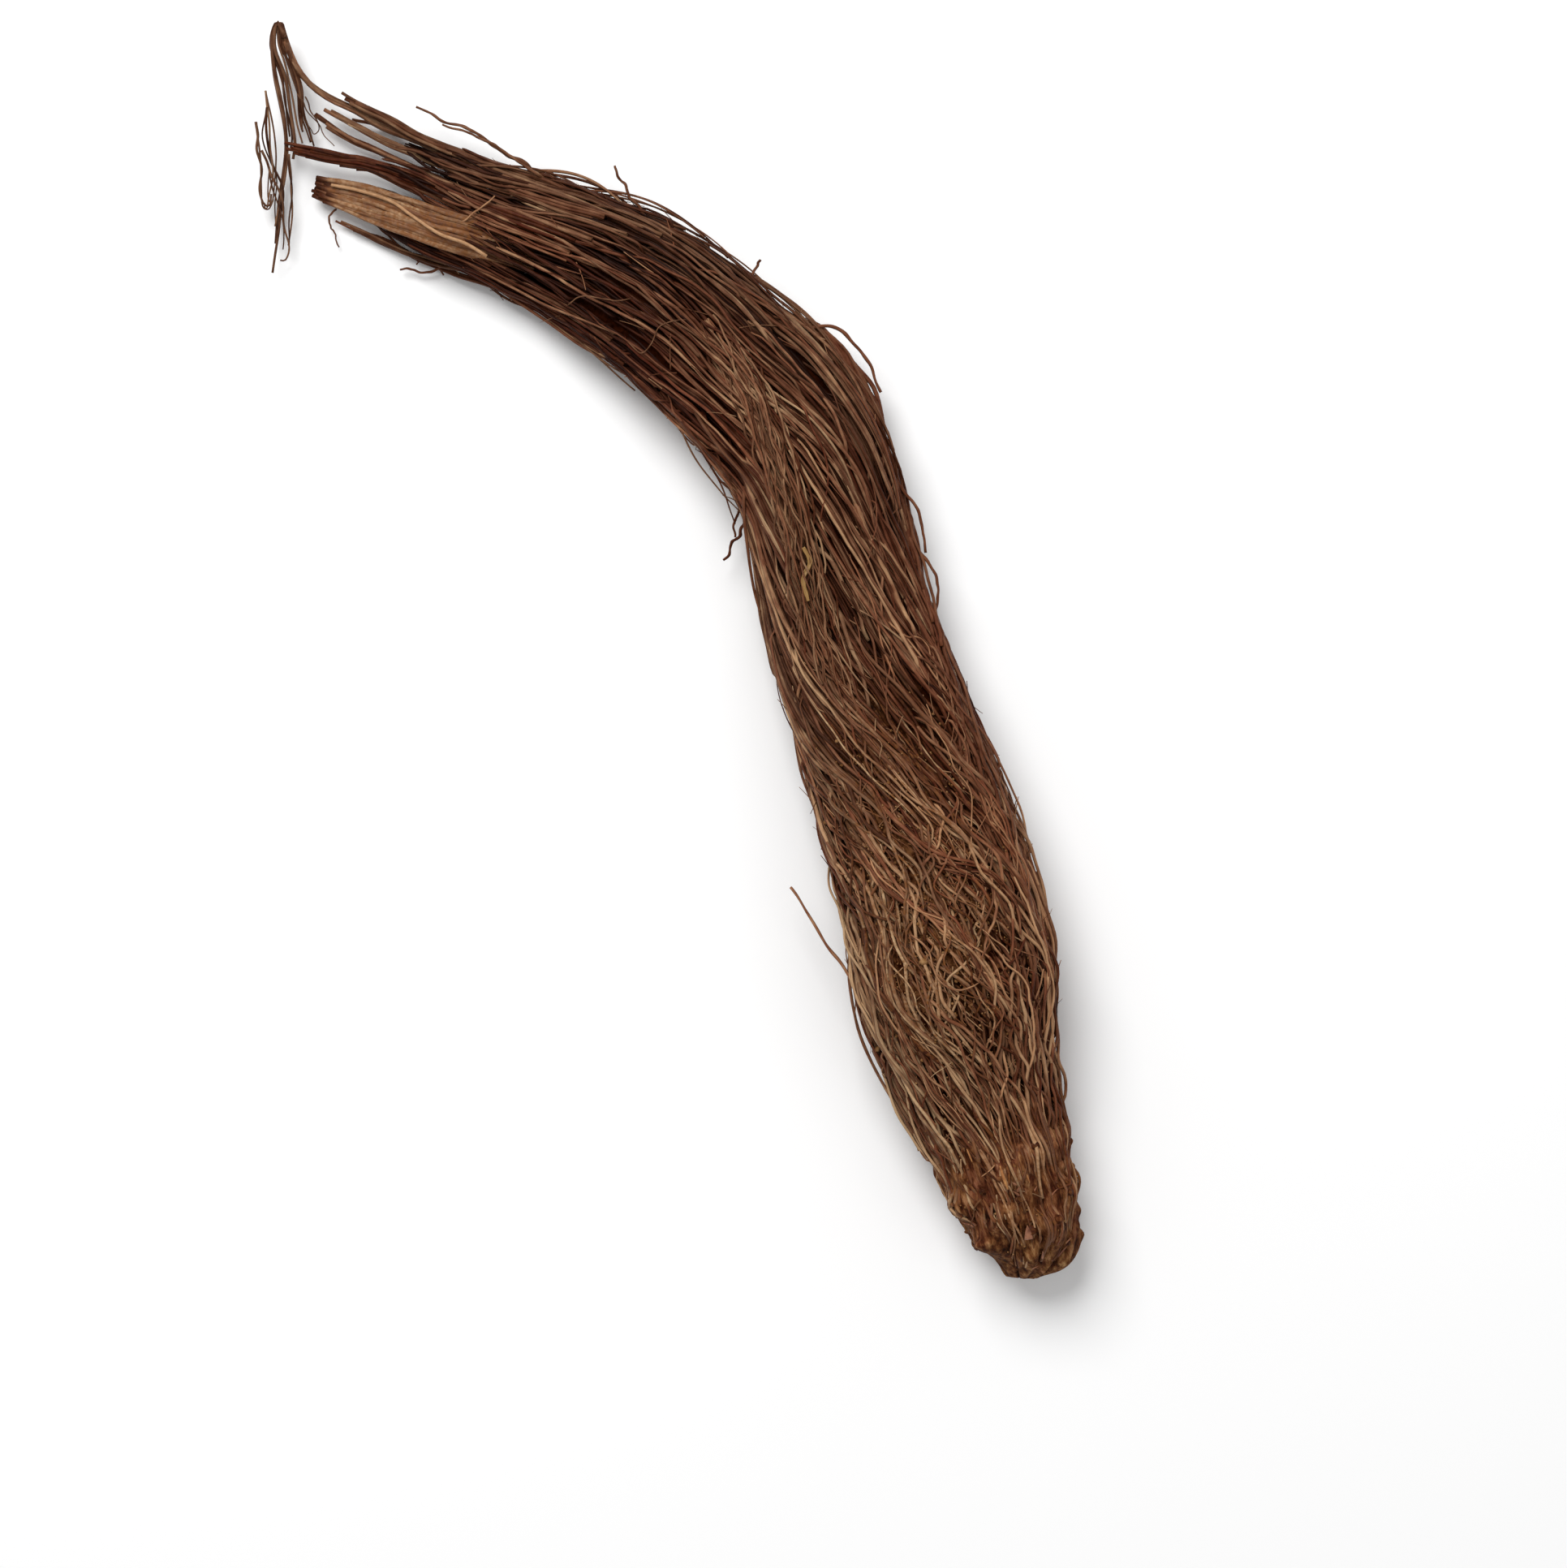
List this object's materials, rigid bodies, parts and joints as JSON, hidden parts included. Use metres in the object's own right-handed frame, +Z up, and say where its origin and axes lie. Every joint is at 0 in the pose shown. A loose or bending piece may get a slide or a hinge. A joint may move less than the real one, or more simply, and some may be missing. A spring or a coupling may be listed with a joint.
{
  "type": "dried valerian root",
  "caption": "Dried valerian root lying down: a knobbly rhizome with a long curved sheaf of fine combed rootlets that frays out at the tail.",
  "frame": {"origin": "on the resting surface, under the middle of the part's box", "axes": "+Z up from the resting surface; the root lies down with its frayed tail at -X +Y and its rhizome at +X -Y"},
  "size_m": [0.1538, 0.2342, 0.0299],
  "materials": {
    "dried_root": "matt, fibrous dried root bark in dark brown, dusted with ochre soil",
    "dry_grass": "satin dry straw"
  },
  "bodies": {
    "root": {"valerian_root": "dried_root", "grass_scrap": "dry_grass"}
  },
  "joints": []
}
